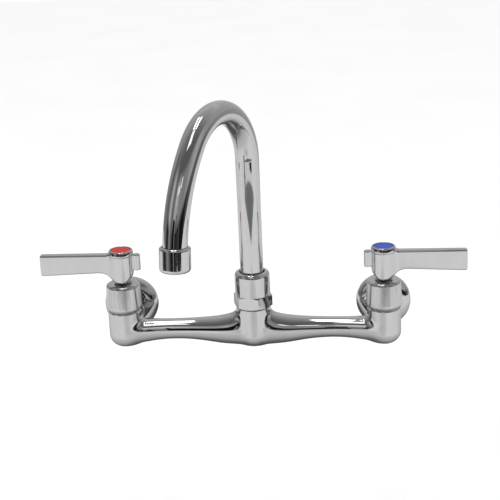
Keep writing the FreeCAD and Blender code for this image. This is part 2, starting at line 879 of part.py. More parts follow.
# Spout seat on the centre boss
def spout_collar():
    body = new_body("spout_collar")
    plug = d.boss_bore - d.running_fit
    groove = plug - d.collar_seal_section
    half = d.collar_seal_section / 2
    foot = boss_thread_top - d.collar_plug_length
    points = [(d.collar_bore, foot), (plug, foot)]
    for level in (d.collar_seal_low, d.collar_seal_high):
        low = level - half
        high = level + half
        points += [(plug, low), (groove, low), (groove, high), (plug, high)]
    points += [
        (plug, boss_thread_top), (d.collar_flange_radius, boss_thread_top),
        (d.collar_flange_radius, collar_top), (tube_bore, collar_top),
        (tube_bore, collar_top + d.collar_spigot_height),
        (d.collar_bore, collar_top + d.collar_spigot_height),
    ]
    turned(body, points)
    swing(body)


def spout_seal(label, level):
    inner = d.boss_bore - d.running_fit - d.collar_seal_section
    seal = torus(label, inner, d.collar_seal_section, level)
    place(seal, 0.0, -d.column_standoff, level - d.inlet_rise)
    parts.append(seal)


def swing(body, tilt=0.0, reach=0.0, level=0.0):
    turn = FreeCAD.Rotation(FreeCAD.Vector(0, 0, -1), SIZES["spout_swing"])
    lean = FreeCAD.Rotation(FreeCAD.Vector(1, 0, 0), -tilt)
    base = turn.multVec(FreeCAD.Vector(0, -reach, level))
    seat = FreeCAD.Vector(0, -SIZES["column_standoff"], -SIZES["inlet_rise"])
    body.Placement = FreeCAD.Placement(base + seat, turn.multiply(lean))
    parts.append(body)


def fixed_on_boss(body):
    place(body, 0.0, -d.column_standoff, -d.inlet_rise)
    parts.append(body)


def glide_ring():
    outer = d.boss_thread_radius - d.static_fit
    fixed_on_boss(ring("spout_glide_ring", d.glide_ring_bore, outer, collar_top, d.glide_ring_height))


def spout_nut():
    body = new_body("spout_nut")
    hex_top = d.boss_top + d.spout_nut_hex_height
    thread = d.boss_thread_radius + d.static_fit
    sketch = new_sketch(body, "XY_Plane", d.boss_top)
    hexagon(sketch, d.spout_nut_flats, d.spout_nut_turn)
    padded(body, sketch, d.spout_nut_hex_height)
    corner_cut(body, d.spout_nut_flats, hex_top, 1)
    corner_cut(body, d.spout_nut_flats - d.spout_nut_seat_step * 2, d.boss_top, -1)
    turned(body, [(0, d.boss_top), (d.boss_thread_radius, d.boss_top), (d.boss_thread_radius, hex_top),
                  (d.spout_nut_radius, hex_top), (d.spout_nut_radius, nut_top), (0, nut_top)])
    turned(body, [(0, d.boss_top), (thread, d.boss_top), (thread, nut_shoulder),
                  (d.spout_nut_bore, nut_shoulder), (d.spout_nut_bore, nut_top), (0, nut_top)], cut=True)
    rounded(body, d.spout_nut_edge_round, ring_edge(d.spout_nut_radius, nut_top))
    chamfered(body, d.spout_nut_mouth, ring_edge(d.spout_nut_bore, nut_top))
    fixed_on_boss(body)


# Gooseneck path in the plane of the spout, as reach out and level up
crown_level = d.riser_top
crown_end_reach = d.crown_radius - d.crown_radius * cosine(d.crown_turn)
crown_end_level = crown_level + d.crown_radius * sine(d.crown_turn)
drop_centre_reach = crown_end_reach + d.drop_radius * cosine(d.crown_turn)
drop_centre_level = crown_end_level - d.drop_radius * sine(d.crown_turn)
full_turn = d.crown_turn + d.drop_turn
drop_end_reach = drop_centre_reach - d.drop_radius * cosine(full_turn)
drop_end_level = drop_centre_level + d.drop_radius * sine(full_turn)
leg_end_reach = drop_end_reach + d.outlet_leg * sine(full_turn)
leg_end_level = drop_end_level + d.outlet_leg * cosine(full_turn)


def arc_piece(reach, level, radius, start, end):
    shape = Part.Circle(vector(-reach, level), FreeCAD.Vector(0, 0, 1), radius.value)
    return Part.ArcOfCircle(shape, math.radians(start), math.radians(end))


def gooseneck():
    body = new_body("spout_tube")
    path = new_sketch(body, "YZ_Plane")
    path.addGeometry(Part.LineSegment(vector(0, collar_top), vector(0, crown_level)), False)
    path.addGeometry(arc_piece(d.crown_radius, crown_level, d.crown_radius, 0, d.crown_turn.value), False)
    path.addGeometry(arc_piece(drop_centre_reach, drop_centre_level, d.drop_radius,
                               d.crown_turn.value, full_turn.value), False)
    path.addGeometry(Part.LineSegment(vector(-drop_end_reach, drop_end_level),
                                      vector(-leg_end_reach, leg_end_level)), False)
    for geo in range(3):
        join(path, geo, geo + 1)
    pin(path, 0, 1, 0, collar_top)
    pin(path, 0, 2, 0, crown_level)
    pin(path, 1, 3, -d.crown_radius, crown_level)
    hold(path, "DistanceX", 1, 2, -crown_end_reach)
    pin(path, 2, 3, -drop_centre_reach, drop_centre_level)
    hold(path, "DistanceY", 2, 2, drop_end_level)
    pin(path, 3, 2, -leg_end_reach, leg_end_level)
    section = new_sketch(body, "XY_Plane", collar_top)
    circle(section, 0, 0, d.tube_radius)
    circle(section, 0, 0, tube_bore)
    spine = (path, ["Edge1", "Edge2", "Edge3", "Edge4"])
    add_feature(body, "PartDesign::AdditivePipe", Profile=section, Spine=spine)
    swing(body)


# Aerator pieces, modelled upright with the mouth at zero and then set on the tube end
def at_outlet(body):
    tilt = 180 - full_turn.value
    lean = math.radians(tilt)
    reach = leg_end_reach.value + tube_end.value * math.sin(lean)
    level = leg_end_level.value - tube_end.value * math.cos(lean)
    swing(body, tilt, reach, level)


def aerator_housing():
    body = new_body("aerator_housing")
    bore = d.tube_radius + d.static_fit
    straight_end = tube_end + d.outlet_leg
    curved = d.aerator_height - straight_end
    relief = bore + d.static_fit + curved * curved / (d.drop_radius * 2)
    turned(body, [
        (d.aerator_lip_radius, 0), (d.aerator_radius, 0), (d.aerator_radius, d.aerator_height),
        (relief, d.aerator_height), (relief, straight_end), (bore, straight_end),
        (bore, d.aerator_lip_height), (d.aerator_lip_radius, d.aerator_lip_height),
    ])
    rounded(body, d.aerator_mouth_round, ring_edge(d.aerator_radius, 0))
    rounded(body, d.aerator_top_round, ring_edge(d.aerator_radius, d.aerator_height))
    at_outlet(body)


def aerator_washer():
    low = d.aerator_lip_height + d.aerator_insert_height
    at_outlet(ring("aerator_washer", d.aerator_washer_bore, d.tube_radius, low, d.aerator_washer_height))


def aerator_insert():
    body = new_body("aerator_insert")
    sketch = new_sketch(body, "XY_Plane", d.aerator_lip_height)
    circle(sketch, 0, 0, d.tube_radius)
    for i in range(INSERT_PORTS):
        angle = 360 * i / INSERT_PORTS
        reach = d.aerator_port_reach
        circle(sketch, reach * cosine(angle), reach * sine(angle), d.aerator_port_radius)
    padded(body, sketch, d.aerator_insert_height)
    at_outlet(body)


def aerator_screen():
    body = new_body("aerator_screen")
    sketch = new_sketch(body, "XY_Plane", d.aerator_lip_height)
    circle(sketch, 0, 0, d.aerator_lip_radius - d.static_fit)
    for number in range(1, SCREEN_RINGS + 1):
        reach = d.screen_hole_pitch * number
        for i in range(6 * number):
            angle = 60 * i / number
            circle(sketch, reach * cosine(angle), reach * sine(angle), d.screen_hole_radius)
    padded(body, sketch, d.screen_height, reverse=True)
    at_outlet(body)


casting()
for side in SIDES:
    for make in (shank, flange, gasket, locknut, bonnet, cartridge, seat_washer, fixed_disc,
                 moving_disc, stem, stem_seal, handle, handle_screw, index_button):
        make(side)
spout_collar()
spout_seal("spout_seal_low", d.collar_seal_low)
spout_seal("spout_seal_high", d.collar_seal_high)
glide_ring()
spout_nut()
gooseneck()
aerator_housing()
aerator_washer()
aerator_insert()
aerator_screen()
doc.recompute()

# Every object and shape is sound before anything is written
for item in doc.Objects:
    if "Invalid" in item.State or "Error" in item.State:
        raise RuntimeError(f"{item.Label} did not build")
os.makedirs("parts", exist_ok=True)
for item in parts:
    if item.Shape.isNull() or not item.Shape.isValid():
        raise RuntimeError(f"{item.Label} has no sound shape")
    item.Shape.exportStep(f"parts/{item.Label}.step")
    print(f"{item.Label}: {item.Shape.Volume:.1f} mm3, {len(item.Shape.Solids)} solid")
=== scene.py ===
import bpy
import math
import numpy as np
from mathutils import Matrix, Vector


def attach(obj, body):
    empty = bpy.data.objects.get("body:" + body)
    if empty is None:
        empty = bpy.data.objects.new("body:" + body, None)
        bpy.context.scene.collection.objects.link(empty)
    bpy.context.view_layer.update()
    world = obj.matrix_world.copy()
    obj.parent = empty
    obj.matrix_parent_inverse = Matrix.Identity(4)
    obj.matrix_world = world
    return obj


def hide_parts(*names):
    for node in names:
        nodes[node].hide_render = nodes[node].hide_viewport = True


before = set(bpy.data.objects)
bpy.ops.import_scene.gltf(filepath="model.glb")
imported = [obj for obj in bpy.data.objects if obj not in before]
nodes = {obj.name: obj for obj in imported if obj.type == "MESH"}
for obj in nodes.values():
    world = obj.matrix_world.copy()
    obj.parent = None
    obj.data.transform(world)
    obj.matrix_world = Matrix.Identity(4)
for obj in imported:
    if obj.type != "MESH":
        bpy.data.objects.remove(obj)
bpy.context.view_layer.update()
for spare in ("Cube", "Light", "Camera"):
    if spare in bpy.data.objects:
        bpy.data.objects.remove(bpy.data.objects[spare])
scene = bpy.context.scene
perMetre = 1000  # the pieces are set out in millimetres
scene.view_settings.view_transform = "Standard"
print("frame loaded,", len(nodes), "nodes")


# small helpers for node trees
def newMaterial(name):
    material = bpy.data.materials.new(name)
    material.use_nodes = True
    material.node_tree.nodes.clear()
    return material, material.node_tree


def addNode(tree, kind, **settings):
    node = tree.nodes.new(kind)
    for key, value in settings.items():
        setattr(node, key, value)
    return node


def setInputs(node, **values):
    for key, value in values.items():
        node.inputs[key].default_value = value


def link(tree, source, target):
    tree.links.new(source, target)


def mathNode(tree, operation, first, second=None):
    node = addNode(tree, "ShaderNodeMath", operation=operation)
    for socket, item in zip(node.inputs, (first, second)):
        if item is None:
            continue
        if isinstance(item, (int, float)):
            socket.default_value = item
        else:
            link(tree, item, socket)
    return node.outputs[0]


def rampNode(tree, factor, stops, interpolation="LINEAR"):
    ramp = addNode(tree, "ShaderNodeValToRGB")
    ramp.color_ramp.interpolation = interpolation
    elements = ramp.color_ramp.elements
    while len(elements) < len(stops):
        elements.new(0.5)
    for element, (place, colour) in zip(elements, stops):
        element.position = place
        element.color = (*colour, 1)
    link(tree, factor, ramp.inputs["Fac"])
    return ramp.outputs["Color"]


def noiseNode(tree, scale, detail, stretch=(1, 1, 1)):
    coords = addNode(tree, "ShaderNodeTexCoord")
    mapping = addNode(tree, "ShaderNodeMapping")
    mapping.inputs["Scale"].default_value = stretch
    link(tree, coords.outputs["Object"], mapping.inputs["Vector"])
    noise = addNode(tree, "ShaderNodeTexNoise")
    setInputs(noise, Scale=scale, Detail=detail)
    link(tree, mapping.outputs["Vector"], noise.inputs["Vector"])
    return noise.outputs["Fac"]


def mapRange(tree, value, low, high, toLow, toHigh):
    node = addNode(tree, "ShaderNodeMapRange")
    for key, number in (("From Min", low), ("From Max", high), ("To Min", toLow), ("To Max", toHigh)):
        node.inputs[key].default_value = number
    link(tree, value, node.inputs["Value"])
    return node.outputs["Result"]


def finishMaterial(tree, shader):
    output = addNode(tree, "ShaderNodeOutputMaterial")
    link(tree, shader, output.inputs["Surface"])


# share of a noise's range that the tones and the roughness run over, then how fine the noises are
noiseLow, noiseHigh = 0.3, 0.7
metal = {"toneDetail": 4.0, "wearScale": 2.3, "wearDetail": 5.0, "waveDetail": 1.5}
plain = {"toneDetail": 4.0, "bumpScale": 4, "bumpDetail": 3.0, "specular": 0.15}


# metals, each with its own tone, wear and surface waviness
def makeMetal(name, dark, light, rough, grain, wave, stretch=(1, 1, 1)):
    material, tree = newMaterial(name)
    shader = addNode(tree, "ShaderNodeBsdfPrincipled")
    setInputs(shader, Metallic=1.0)
    tone = noiseNode(tree, grain, metal["toneDetail"], stretch)
    link(tree, rampNode(tree, tone, [(noiseLow, dark), (noiseHigh, light)]), shader.inputs["Base Color"])
    wear = noiseNode(tree, grain * metal["wearScale"], metal["wearDetail"], stretch)  # finer than the tone
    link(tree, mapRange(tree, wear, noiseLow, noiseHigh, *rough), shader.inputs["Roughness"])
    waveScale, waveHeight = wave
    bump = addNode(tree, "ShaderNodeBump")
    setInputs(bump, Strength=1.0, Distance=waveHeight)
    link(tree, noiseNode(tree, waveScale, metal["waveDetail"], stretch), bump.inputs["Height"])
    link(tree, bump.outputs["Normal"], shader.inputs["Normal"])
    finishMaterial(tree, shader.outputs["BSDF"])
    return material


# rubber, ceramic, plastic and paint
def makePlain(name, dark, light, rough, grain, bumpHeight):
    material, tree = newMaterial(name)
    shader = addNode(tree, "ShaderNodeBsdfPrincipled")
    shader.inputs["Specular IOR Level"].default_value = plain["specular"]
    tone = noiseNode(tree, grain, plain["toneDetail"])
    link(tree, rampNode(tree, tone, [(noiseLow, dark), (noiseHigh, light)]), shader.inputs["Base Color"])
    link(tree, mapRange(tree, tone, noiseLow, noiseHigh, *rough), shader.inputs["Roughness"])
    bump = addNode(tree, "ShaderNodeBump")
    setInputs(bump, Strength=1.0, Distance=bumpHeight)
    link(tree, noiseNode(tree, grain * plain["bumpScale"], plain["bumpDetail"]), bump.inputs["Height"])
    link(tree, bump.outputs["Normal"], shader.inputs["Normal"])
    finishMaterial(tree, shader.outputs["BSDF"])
    return material


# dark and light tone, roughness range, grain scale, then the waves' scale and height or the bump's height
chromeDark, chromeLight = (0.56, 0.56, 0.565), (0.59, 0.59, 0.595)
castChrome = makeMetal("castChrome", chromeDark, chromeLight, (0.03, 0.06), 90, (40, 0.00002))
turnedChrome = makeMetal("turnedChrome", chromeDark, chromeLight, (0.04, 0.08), 260, (90, 0.00001))
bonnetChrome = makeMetal("bonnetChrome", (0.52, 0.52, 0.53), (0.60, 0.60, 0.61), (0.14, 0.24), 420, (900, 0.00001),
                         (1, 1, 0.12))  # streaks run up and down
tubeChrome = makeMetal("tubeChrome", (0.565, 0.565, 0.57), chromeLight, (0.02, 0.04), 140, (40, 0.00001))
rawBrass = makeMetal("rawBrass", (0.50, 0.37, 0.16), (0.62, 0.48, 0.24), (0.22, 0.38), 400, (700, 0.00002))
satinSteel = makeMetal("satinSteel", (0.46, 0.46, 0.47), (0.56, 0.56, 0.57), (0.22, 0.36), 500, (900, 0.00001))
sealRubber = makePlain("sealRubber", (0.012, 0.012, 0.012), (0.03, 0.03, 0.03), (0.55, 0.75), 700, 0.00004)
alumina = makePlain("alumina", (0.80, 0.79, 0.76), (0.88, 0.87, 0.85), (0.12, 0.25), 500, 0.000005)
acetal = makePlain("acetal", (0.74, 0.74, 0.72), (0.82, 0.82, 0.80), (0.35, 0.5), 300, 0.00001)
hotRed = makePlain("hotRed", (0.46, 0.022, 0.018), (0.60, 0.04, 0.034), (0.4, 0.55), 420, 0.00003)
coldBlue = makePlain("coldBlue", (0.025, 0.065, 0.36), (0.045, 0.10, 0.47), (0.4, 0.55), 420, 0.00003)

finishOf = {
    "body_casting": castChrome, "lever_handle": castChrome, "bonnet": bonnetChrome, "wall_flange": turnedChrome,
    "spout_nut": turnedChrome, "aerator_housing": turnedChrome, "spout_tube": tubeChrome,
    "inlet_shank": rawBrass, "locknut": rawBrass, "cartridge_body": turnedChrome, "stem": rawBrass,
    "spout_collar": rawBrass, "handle_screw": satinSteel, "aerator_screen": satinSteel,
    "splash_gasket": sealRubber, "seat_washer": sealRubber, "stem_seal": sealRubber,
    "spout_seal_low": sealRubber, "spout_seal_high": sealRubber, "aerator_washer": sealRubber,
    "fixed_disc": alumina, "moving_disc": alumina, "spout_glide_ring": acetal, "aerator_insert": acetal,
    "hot_index_button": hotRed, "cold_index_button": coldBlue,
}
for name, item in nodes.items():
    kind = name if name in finishOf else name.removeprefix("hot_").removeprefix("cold_")
    for slot in item.material_slots:
        slot.material = finishOf[kind]
print("finishes set")


def addMesh(name, points, faces):
    mesh = bpy.data.meshes.new(name)
    mesh.from_pydata(points, [], faces)
    mesh.update()
    item = bpy.data.objects.new(name, mesh)
    scene.collection.objects.link(item)
    return item


# smooth forms, each given as a distance to its surface in millimetres, negative inside
def softUnion(first, second, width):
    near = np.maximum(width - np.abs(first - second), 0)
    return np.minimum(first, second) - near * near / (4 * width)


def softTrim(first, second, width):
    return -softUnion(-first, -second, width)


# curve through given values, level at both ends
def smoothCurve(places, values):
    places, values = np.array(places, float), np.array(values, float)
    step, count = np.diff(places), len(places)
    rise = np.diff(values) / step
    matrix, target = np.zeros((count, count)), np.zeros(count)
    matrix[0, :2], target[0] = (2 * step[0], step[0]), 6 * rise[0]
    matrix[-1, -2:], target[-1] = (step[-1], 2 * step[-1]), -6 * rise[-1]
    for i in range(1, count - 1):
        matrix[i, i - 1:i + 2] = step[i - 1], 2 * (step[i - 1] + step[i]), step[i]
        target[i] = 6 * (rise[i] - rise[i - 1])
    bend = np.linalg.solve(matrix, target)

    def at(reach):
        reach = np.clip(reach, places[0], places[-1])
        i = np.clip(np.searchsorted(places, reach) - 1, 0, count - 2)
        past, ahead, span = reach - places[i], places[i + 1] - reach, step[i]
        curved = (bend[i] * ahead ** 3 + bend[i + 1] * past ** 3) / (6 * span)
        lower, upper = (values[j] / span - bend[j] * span / 6 for j in (i, i + 1))
        return curved + lower * ahead + upper * past

    return at


# probe in millimetres, longest pull in cells
skin = {"probe": 0.02, "pulls": 5, "longestPull": 0.5, "flattest": 0.05, "shortest": 1e-9}


# skin over a form: one point in each cell that its surface crosses, then pulled onto the surface
def skinOf(form, low, high, cell):
    low = np.array(low, float)
    counts = [math.ceil((top - bottom) / cell) + 1 for bottom, top in zip(low, high)]
    lines = [bottom + cell * np.arange(count) for bottom, count in zip(low, counts)]
    grid = form(*np.meshgrid(*lines, indexing="ij"))
    inside = grid < 0
    size = np.array(grid.shape) - 1
    corners = np.array([(i, j, k) for i in (0, 1) for j in (0, 1) for k in (0, 1)])
    filled = sum(inside[i:i + size[0], j:j + size[1], k:k + size[2]].astype(int)
                 for i, j, k in corners)
    mixed = (filled > 0) & (filled < len(corners))
    cells = np.argwhere(mixed)
    number = np.full(size, -1)
    number[mixed] = np.arange(len(cells))
    total, hits = np.zeros((len(cells), 3)), np.zeros((len(cells), 1))
    for start in corners:
        for axis in np.flatnonzero(start == 0):
            end = start.copy()
            end[axis] = 1
            first, second = grid[tuple((cells + start).T)], grid[tuple((cells + end).T)]
            crossed = ((first < 0) != (second < 0))[:, None]
            share = first / np.where(first == second, 1, first - second)
            total += np.where(crossed, start + share[:, None] * (end - start), 0)
            hits += crossed
    points = low + cell * (cells + total / hits)
    faces = []
    for axis in range(3):
        order = (axis, (axis + 1) % 3, (axis + 2) % 3)
        solid, label = inside.transpose(order), number.transpose(order)
        i, j, k = np.nonzero(solid[:-1, 1:-1, 1:-1] != solid[1:, 1:-1, 1:-1])
        ring = [label[i, j, k], label[i, j + 1, k], label[i, j + 1, k + 1], label[i, j, k + 1]]
        quad = np.stack(ring, 1)
        faces.append(np.where(solid[i, j + 1, k + 1][:, None], quad, quad[:, ::-1]))

    def slope(at):
        probe = skin["probe"]
        return np.stack([(form(*(at + step).T) - form(*(at - step).T)) / (2 * probe)
                         for step in probe * np.eye(3)], 1)

    def lengthOf(arrows):
        return np.maximum(np.linalg.norm(arrows, axis=1, keepdims=True), skin["shortest"])

    for _ in range(skin["pulls"]):
        lean = slope(points)
        steep = np.maximum((lean * lean).sum(1, keepdims=True), skin["flattest"])
        move = -form(*points.T)[:, None] * lean / steep
        points = points + move * np.minimum(1, skin["longestPull"] * cell / lengthOf(move))
    lean = slope(points)
    return points, np.concatenate(faces), lean / lengthOf(lean)


def addSkin(name, form, low, high, cell, shift, finish):
    points, faces, normals = skinOf(form, low, high, cell)
    mesh = bpy.data.meshes.new(name)
    places = (points + np.array(shift)) / perMetre
    mesh.from_pydata(places.tolist(), [], faces.tolist(), shade_flat=False)
    mesh.normals_split_custom_set_from_vertices(normals.tolist())
    mesh.materials.append(finish)
    item = bpy.data.objects.new(name, mesh)
    scene.collection.objects.link(item)
    print(name, len(points), "points", len(faces), "faces")
    return item


# body casting: arms by reach from the middle, two columns, the centre boss and the inlet hubs
casting = {
    "cell": 0.7, "half": 101.6, "standoff": 38.5, "rise": 9.4,
    "armReach": [0, 10, 14, 18.5, 23, 28, 33, 40, 60, 80, 90, 101.6],
    "armDepth": [8, 10.7, 11.1, 11.0, 10.75, 10.35, 9.85, 9.2, 8.1, 8.8, 9.5, 9.0],
    "armTop": [26, 18, 14.3, 11.9, 10.75, 9.9, 9.35, 8.8, 8.1, 8.0, 8.0, 7.3],
    "armLow": [13.8, 13.5, 13.2, 12.8, 12.4, 11.7, 10.9, 9.75, 8.1, 9.6, 11.0, 10.7],
    "columnRadius": 13.1, "columnTop": 17.3, "topCut": 1.2, "cutEdge": 0.5, "columnFoot": 12.8, "footRound": 9.5,
    "bossRadius": 13.2, "bossTop": 18.7, "bossFoot": 13.85, "bossRound": 10.0,
    "spigotRadius": 10.6, "spigotTop": 24.0, "threadRadius": 11.2, "threadTop": 27.0,
    "neckRadius": 10.9, "neckRise": 5.0, "neckLength": 14.4, "hubRadius": 13.0, "hubDepth": 27.0,
    "bossBlend": 3.0, "columnBlend": 4.5, "hubBlend": 2.5, "edge": 0.9,
    "chamber": 9.0, "seatLevel": 5.0, "bossBore": 8.6, "sump": -6.5, "waterway": 4.5, "lowerPort": 5.5,
    "socket": 10.5, "socketFloor": 16.0, "inletBore": 4.0, "overlap": 1,
    "margin": 1.5, "frontReach": 15, "lowReach": 17,
}


def roundedPost(around, up, radius, foot, footRound):
    across, below = around - radius + footRound, footRound - foot - up
    corner = np.hypot(np.maximum(across, 0), np.maximum(below, 0))
    return corner + np.minimum(np.maximum(across, below), 0) - footRound


def castingForm():
    c = casting
    armDepth, armTop, armLow = (smoothCurve(c["armReach"], c[key])
                                for key in ("armDepth", "armTop", "armLow"))

    def form(x, y, z):
        reach = np.abs(x)
        side = reach - c["half"]
        depth, height = armDepth(reach), np.where(z > 0, armTop(reach), armLow(reach))
        arms = (np.hypot(y / depth, z / height) - 1) * np.minimum(depth, height)
        arms = np.maximum(arms, side)
        aroundBoss, aroundColumn = np.hypot(x, y), np.hypot(side, y)
        boss = roundedPost(aroundBoss, z, c["bossRadius"], c["bossFoot"], c["bossRound"])
        column = roundedPost(aroundColumn, z, c["columnRadius"], c["columnFoot"], c["footRound"])
        neck = np.hypot(side, z - c["neckRise"]) - c["neckRadius"]
        neck = np.maximum(neck, np.maximum(y - c["neckLength"], -y))
        hubMiddle, hubHalf = (c["neckLength"] + c["hubDepth"]) / 2, (c["hubDepth"] - c["neckLength"]) / 2
        hubLength = np.abs(y - hubMiddle) - hubHalf
        hub = softTrim(np.hypot(side, z - c["rise"]) - c["hubRadius"], hubLength, c["edge"])
        solid = softUnion(arms, softTrim(boss, z - c["bossTop"], c["edge"]), c["bossBlend"])
        cut = (aroundColumn - c["columnRadius"] + z - c["columnTop"] + c["topCut"]) / math.sqrt(2)
        column = softTrim(np.maximum(column, z - c["columnTop"]), cut, c["cutEdge"])
        solid = softUnion(solid, column, c["columnBlend"])
        solid = softUnion(solid, softUnion(neck, hub, c["hubBlend"]), c["hubBlend"])
        fromSeat = np.abs(z - c["seatLevel"]) + c["seatLevel"]
        spigot = np.maximum(aroundColumn - c["spigotRadius"], fromSeat - c["spigotTop"])
        thread = np.maximum(aroundBoss - c["threadRadius"], fromSeat - c["threadTop"])
        solid = np.minimum(solid, np.maximum(np.minimum(spigot, thread), -z))
        fromSocket = np.hypot(side, z - c["rise"])
        hollows = [
            np.maximum(aroundColumn - c["chamber"], c["seatLevel"] - z),
            np.maximum(aroundColumn - c["lowerPort"],
                       np.maximum(c["sump"] - z, z - c["seatLevel"] - c["overlap"])),
            np.maximum(aroundBoss - c["bossBore"], c["sump"] - z),
            np.maximum(np.hypot(y, z) - c["waterway"], side),
            np.maximum(fromSocket - c["socket"], c["socketFloor"] - y),
            np.maximum(fromSocket - c["inletBore"], np.maximum(-y, y - c["socketFloor"] - c["overlap"])),
        ]
        for hollow in hollows:
            solid = np.maximum(solid, -hollow)
        return solid

    return form


def makeCasting():
    c = casting
    reach = c["half"] + c["columnRadius"] + c["margin"]
    low = (-reach, -c["frontReach"], -c["lowReach"])
    high = (reach, c["hubDepth"] + c["margin"], c["threadTop"] + c["margin"])
    shift = (0, -c["standoff"], -c["rise"])
    item = addSkin("smoothCasting", castingForm(), low, high, c["cell"], shift, castChrome)
    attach(item, "faucet_body")
    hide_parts("body_casting")


# lever handle, measured from its hub's axis and its base, the blade along x
lever = {
    "cell": 0.4, "base": 29.8, "hubRadius": 9.2, "footHalf": 5.4, "footLevel": 1.6, "footEdge": 1.0,
    "coneHeight": 6.6, "frontShare": 0.5, "collarRadius": 5.8, "coneBlend": 1.2, "hubDrop": 0.5, "hubEdge": 0.3,
    "capRadius": 9.7, "capStart": 23.2, "capRound": 9.0, "capDrop": 0.8, "capEdge": 0.8, "capBlend": 0.6,
    "height": 26.7, "edge": 0.8, "baseEdge": 0.5,
    "bladeReach": 64.0, "rootHalf": 3.6, "tipHalf": 3.1, "rootLow": 9.0, "tipLow": 6.2,
    "bladeTop": 23.3, "bladeEdge": 2.0, "topRound": 1.4,
    "finReach": 19.0, "finRound": 15.0, "finStart": 6.5,
    "tailReach": 12.2, "tailRadius": 2.8, "tailLow": 10.1, "tailTop": 23.1, "tailEdge": 1.1,
    "webHalf": 2.2, "webLow": 10.85, "webTop": 22.35,
    "bladeBlend": 3.5, "tailBlend": 1.2,
    "pocketRadius": 7.92, "pocketFloor": 24.5, "recessRadius": 4.15, "recessFloor": 18.2, "screwHole": 2.25,
    "socketHalf": 2.77, "socketTop": 12.25, "overlap": 1,
    "halfDepth": 10.6, "margin": 0.7, "endMargin": 1,
}


def leverForm(way):
    h = lever

    def form(x, y, z):
        x = x * way
        around = np.hypot(x, y)
        widen = (h["hubRadius"] - h["footHalf"]) / (h["coneHeight"] - h["footLevel"])
        cone = np.hypot(x, h["frontShare"] * y) - h["footHalf"] - widen * (z - h["footLevel"])
        cone = cone / math.hypot(1, widen)
        hub = softTrim(around - h["hubRadius"], cone, h["coneBlend"])
        hub = softTrim(hub, h["footLevel"] - z, h["footEdge"])
        hub = np.minimum(hub, np.maximum(around - h["collarRadius"], z - h["coneHeight"]))
        hub = softTrim(hub, z - h["capStart"] + h["hubDrop"], h["hubEdge"])
        along = np.clip(x / h["bladeReach"], 0, 1)
        half = h["rootHalf"] + (h["tipHalf"] - h["rootHalf"]) * along
        blade = softTrim(np.abs(y) - half, z - h["bladeTop"], h["topRound"])
        inward = np.clip(h["finReach"] - x, 0, h["finReach"] - h["finStart"])
        bend = np.sqrt(h["finRound"] ** 2 - inward ** 2) - h["finRound"]
        lowEdge = h["rootLow"] + (h["tipLow"] - h["rootLow"]) * along + bend
        blade = softTrim(blade, lowEdge - z, h["bladeEdge"])
        blade = np.maximum(softTrim(blade, x - h["bladeReach"], h["bladeEdge"]), -x)
        tailHalfReach = h["tailReach"] / 2
        web = np.maximum(np.maximum(np.abs(y) - h["webHalf"], h["webLow"] - z),
                         np.maximum(z - h["webTop"], np.abs(x + tailHalfReach) - tailHalfReach))
        tailMiddle, tailHalf = (h["tailLow"] + h["tailTop"]) / 2, (h["tailTop"] - h["tailLow"]) / 2
        tail = np.hypot(x + h["tailReach"], y) - h["tailRadius"]
        tail = softTrim(tail, np.abs(z - tailMiddle) - tailHalf, h["tailEdge"])
        solid = softUnion(hub, blade, h["bladeBlend"])
        solid = softUnion(solid, softUnion(tail, web, h["tailBlend"]), h["tailBlend"])
        # the cap leans in towards its rim
        lean = np.maximum(z - h["capStart"], 0) ** 2 / (2 * h["capRound"])
        cap = softTrim(around - h["capRadius"] + lean, h["capStart"] - h["capDrop"] - z, h["capEdge"])
        solid = softUnion(solid, cap, h["capBlend"])
        solid = softTrim(softTrim(solid, z - h["height"], h["edge"]), -z, h["baseEdge"])
        hollows = [
            np.maximum(around - h["pocketRadius"], h["pocketFloor"] - z),
            np.maximum(around - h["recessRadius"], h["recessFloor"] - z),
            np.maximum(around - h["screwHole"], h["socketTop"] - h["overlap"] - z),
            np.maximum(np.maximum(np.abs(x), np.abs(y)) - h["socketHalf"], z - h["socketTop"]),
        ]
        for hollow in hollows:
            solid = np.maximum(solid, -hollow)
        return solid

    return form


def makeLevers():
    h = lever
    reach = h["bladeReach"] + h["endMargin"]
    back = h["tailReach"] + h["tailRadius"] + h["endMargin"]
    for side, way in (("hot", -1), ("cold", 1)):
        left, right = (-back, reach) if way > 0 else (-reach, back)
        low, high = (left, -h["halfDepth"], -h["margin"]), (right, h["halfDepth"], h["height"] + h["margin"])
        shift = (way * casting["half"], -casting["standoff"], h["base"])
        item = addSkin(side + "Lever", leverForm(way), low, high, h["cell"], shift, castChrome)
        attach(item, side + "_lever")
        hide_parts(side + "_lever_handle")


makeCasting()
makeLevers()
print("smooth pieces made")


# pieces that follow a path, made with node trees and kept as plain meshes
def pathTree(name, numbers):
    tree = bpy.data.node_groups.new(name, "GeometryNodeTree")
    tree.interface.new_socket("Geometry", in_out="INPUT", socket_type="NodeSocketGeometry")
    for label in numbers:
        kind = "NodeSocketInt" if label == "sides" else "NodeSocketFloat"
        tree.interface.new_socket(label, in_out="INPUT", socket_type=kind)
    tree.interface.new_socket("Finish", in_out="INPUT", socket_type="NodeSocketMaterial")
    tree.interface.new_socket("Geometry", in_out="OUTPUT", socket_type="NodeSocketGeometry")
    return tree, addNode(tree, "NodeGroupInput")


def endTree(tree, source, shape):
    smooth = addNode(tree, "GeometryNodeSetShadeSmooth")
    dress = addNode(tree, "GeometryNodeSetMaterial")
    real = addNode(tree, "GeometryNodeRealizeInstances")
    end = addNode(tree, "NodeGroupOutput")
    link(tree, shape, smooth.inputs["Geometry"])
    link(tree, smooth.outputs["Geometry"], dress.inputs["Geometry"])
    link(tree, source.outputs["Finish"], dress.inputs["Material"])
    link(tree, dress.outputs["Geometry"], real.inputs["Geometry"])
    link(tree, real.outputs["Geometry"], end.inputs[0])


